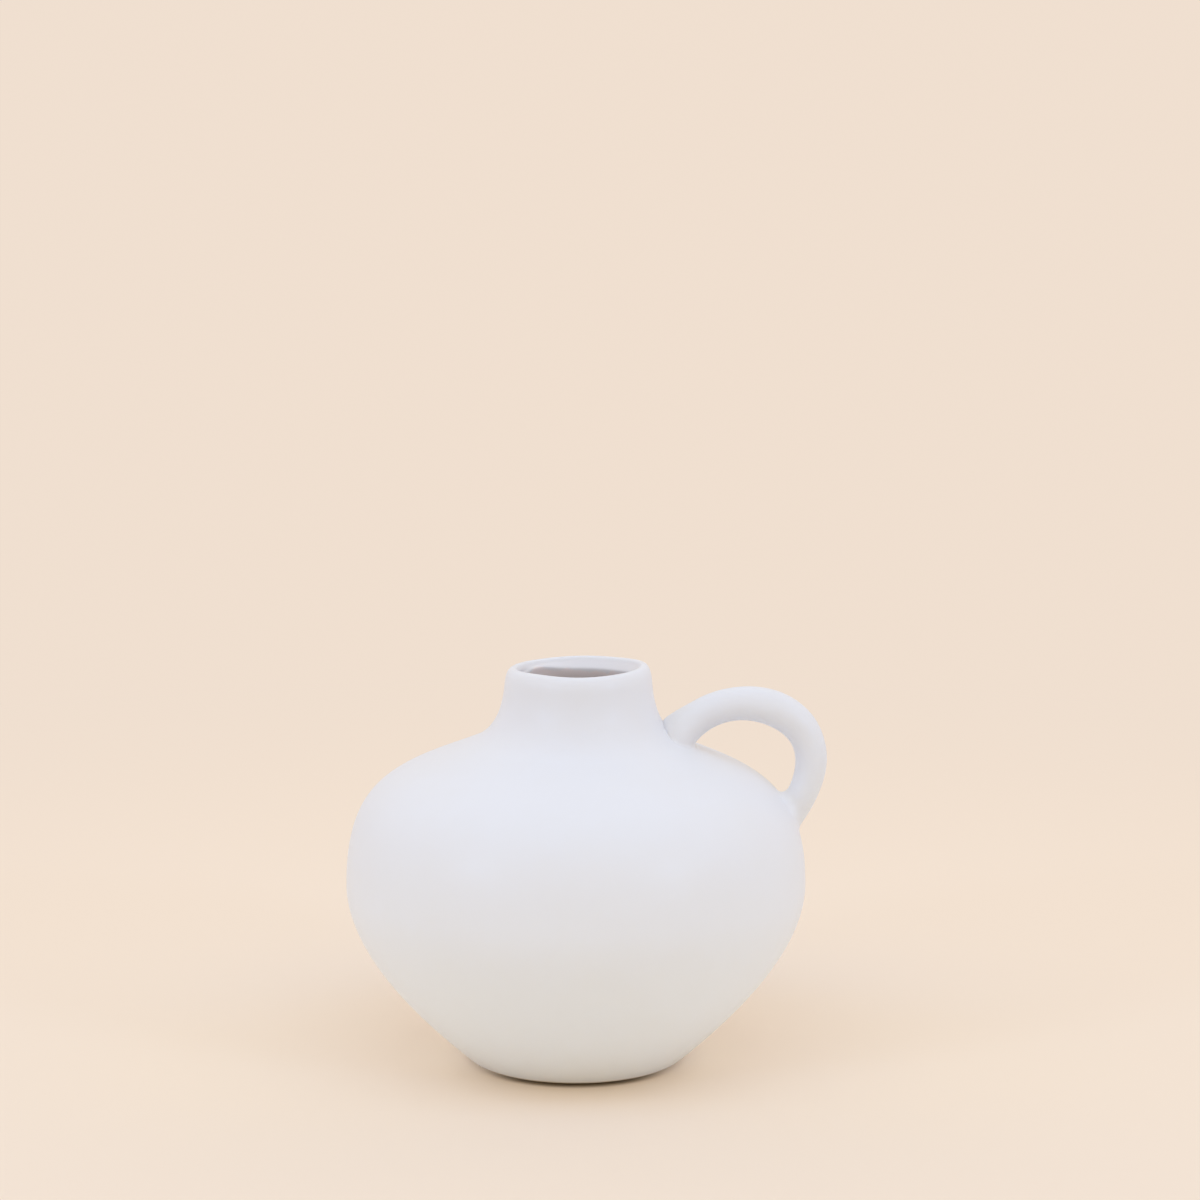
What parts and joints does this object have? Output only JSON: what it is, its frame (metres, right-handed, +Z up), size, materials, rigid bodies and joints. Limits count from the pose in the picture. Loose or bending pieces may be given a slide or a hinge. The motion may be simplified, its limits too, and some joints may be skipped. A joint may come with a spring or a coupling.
{
  "type": "handled vase",
  "caption": "Round-bellied matte white ceramic vase with a short neck, an open mouth and a small loop handle on the shoulder, for holding flowers.",
  "frame": {"origin": "centre of the foot's underside, on the table", "axes": "+Z up along the axis of the vase, +X towards the handle"},
  "size_m": [0.1562, 0.15, 0.1303],
  "materials": {
    "white_glaze": "smooth matte white glaze",
    "bare_clay": "bare unglazed clay"
  },
  "bodies": {
    "root": {"base_slab": "bare_clay", "body": "white_glaze", "neck_collar": "white_glaze", "handle": "white_glaze", "upper_handle_joint": "white_glaze", "lower_handle_joint": "white_glaze"}
  },
  "joints": []
}
